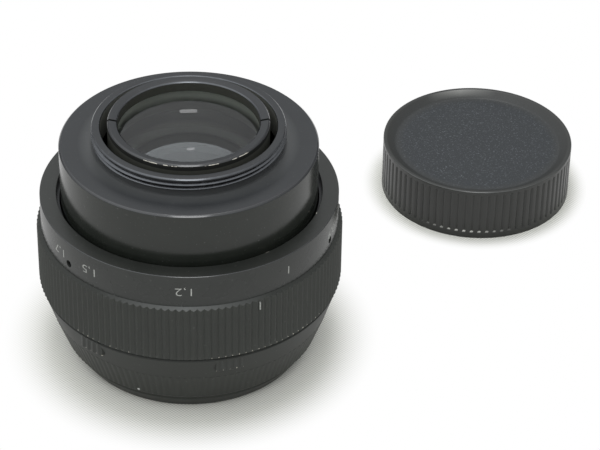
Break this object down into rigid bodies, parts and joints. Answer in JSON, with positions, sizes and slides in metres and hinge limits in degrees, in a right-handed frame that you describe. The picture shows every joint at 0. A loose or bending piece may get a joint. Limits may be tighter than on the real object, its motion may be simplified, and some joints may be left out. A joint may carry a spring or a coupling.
{
  "type": "prime camera lens",
  "caption": "Preset-aperture prime lens with a knurled focusing ring, an iris and a screw mount, standing on its front rim beside its rear cap.",
  "frame": {"origin": "on the optical axis, in the plane of the front rim that the lens stands on", "axes": "+Z along the optical axis from the front rim to the camera mount; -Y faces the picture's camera"},
  "size_m": [0.1232, 0.1175, 0.058],
  "materials": {
    "black_anodised": "black anodised, turned and knurled, worn at the edges",
    "satin_anodised": "fine satin black anodised",
    "screw_steel": "turned steel",
    "blade_steel": "blackened spring steel",
    "coated_glass": "polished, with a pale blue coating",
    "cap_plastic": "moulded, grained top and ribbed side"
  },
  "bodies": {
    "barrel": {"filter_ring": "black_anodised", "main_barrel": "black_anodised", "front_cell": "black_anodised", "front_retaining_ring": "black_anodised", "front_element": "coated_glass", "triplet_retaining_ring": "black_anodised", "front_triplet_crown": "coated_glass", "front_triplet_filler": "coated_glass", "front_triplet_flint": "coated_glass", "iris_housing": "black_anodised", "rear_cell": "black_anodised", "rear_triplet_front": "coated_glass", "rear_triplet_middle": "coated_glass", "rear_triplet_rear": "coated_glass", "rear_retaining_ring": "black_anodised", "focus_retaining_ring": "satin_anodised", "guide_keys": "screw_steel", "guide_key_screws": "screw_steel"},
    "focus": {"helicoid_sleeve": "satin_anodised", "focus_grip_ring": "black_anodised", "distance_scale_ring": "black_anodised", "scale_set_screws": "screw_steel"},
    "mount": {"mount_barrel": "satin_anodised", "mount_thread_ring": "black_anodised", "mount_lock_screw": "screw_steel"},
    "aperture": {"aperture_ring": "black_anodised", "aperture_drive_screw": "screw_steel", "iris_drive_sleeve": "satin_anodised", "iris_rotor": "satin_anodised", "rotor_pin": "screw_steel"},
    "preset": {"preset_ring": "black_anodised", "preset_stop_screw": "screw_steel"},
    "blade_1": {"iris_blade_1": "blade_steel"},
    "blade_2": {"iris_blade_2": "blade_steel"},
    "blade_3": {"iris_blade_3": "blade_steel"},
    "blade_4": {"iris_blade_4": "blade_steel"},
    "blade_5": {"iris_blade_5": "blade_steel"},
    "blade_6": {"iris_blade_6": "blade_steel"},
    "blade_7": {"iris_blade_7": "blade_steel"},
    "cap": {"rear_cap": "cap_plastic"}
  },
  "joints": [
    {"name": "focus_turn", "type": "hinge", "parent": "barrel", "child": "focus", "pos_m": [0, 0, 0.0287], "axis": [0, 0, -1], "range_deg": [0, 280]},
    {"name": "mount_slide", "type": "slide", "parent": "barrel", "child": "mount", "axis": [0, 0, 1], "range_m": [0, 0.01167]},
    {"name": "aperture_turn", "type": "hinge", "parent": "barrel", "child": "aperture", "pos_m": [0, 0, 0.0083], "axis": [0, 0, 1], "range_deg": [0, 76]},
    {"name": "preset_turn", "type": "hinge", "parent": "barrel", "child": "preset", "pos_m": [0, 0, 0.0154], "axis": [0, 0, 1], "range_deg": [-76, 0]},
    {"name": "blade_1_swing", "type": "hinge", "parent": "barrel", "child": "blade_1", "pos_m": [0.017, 0, 0.033], "axis": [0, 0, 1], "range_deg": [0, 38]},
    {"name": "blade_2_swing", "type": "hinge", "parent": "barrel", "child": "blade_2", "pos_m": [0.0106, 0.01329, 0.033], "axis": [0, 0, 1], "range_deg": [0, 38]},
    {"name": "blade_3_swing", "type": "hinge", "parent": "barrel", "child": "blade_3", "pos_m": [-0.00378, 0.01657, 0.033], "axis": [0, 0, 1], "range_deg": [0, 38]},
    {"name": "blade_4_swing", "type": "hinge", "parent": "barrel", "child": "blade_4", "pos_m": [-0.01532, 0.00738, 0.033], "axis": [0, 0, 1], "range_deg": [0, 38]},
    {"name": "blade_5_swing", "type": "hinge", "parent": "barrel", "child": "blade_5", "pos_m": [-0.01532, -0.00738, 0.033], "axis": [0, 0, 1], "range_deg": [0, 38]},
    {"name": "blade_6_swing", "type": "hinge", "parent": "barrel", "child": "blade_6", "pos_m": [-0.00378, -0.01657, 0.033], "axis": [0, 0, 1], "range_deg": [0, 38]},
    {"name": "blade_7_swing", "type": "hinge", "parent": "barrel", "child": "blade_7", "pos_m": [0.0106, -0.01329, 0.033], "axis": [0, 0, 1], "range_deg": [0, 38]},
    {"name": "cap_lift", "type": "slide", "parent": "barrel", "child": "cap", "axis": [0, 0, 1], "range_m": [0, 0.06]}
  ],
  "couplings": [
    {"joint": "mount_slide", "follows": "focus_turn", "m_per_rad": 0.0023873},
    {"joint": "blade_1_swing", "follows": "aperture_turn", "ratio": 0.5},
    {"joint": "blade_2_swing", "follows": "aperture_turn", "ratio": 0.5},
    {"joint": "blade_3_swing", "follows": "aperture_turn", "ratio": 0.5},
    {"joint": "blade_4_swing", "follows": "aperture_turn", "ratio": 0.5},
    {"joint": "blade_5_swing", "follows": "aperture_turn", "ratio": 0.5},
    {"joint": "blade_6_swing", "follows": "aperture_turn", "ratio": 0.5},
    {"joint": "blade_7_swing", "follows": "aperture_turn", "ratio": 0.5}
  ]
}
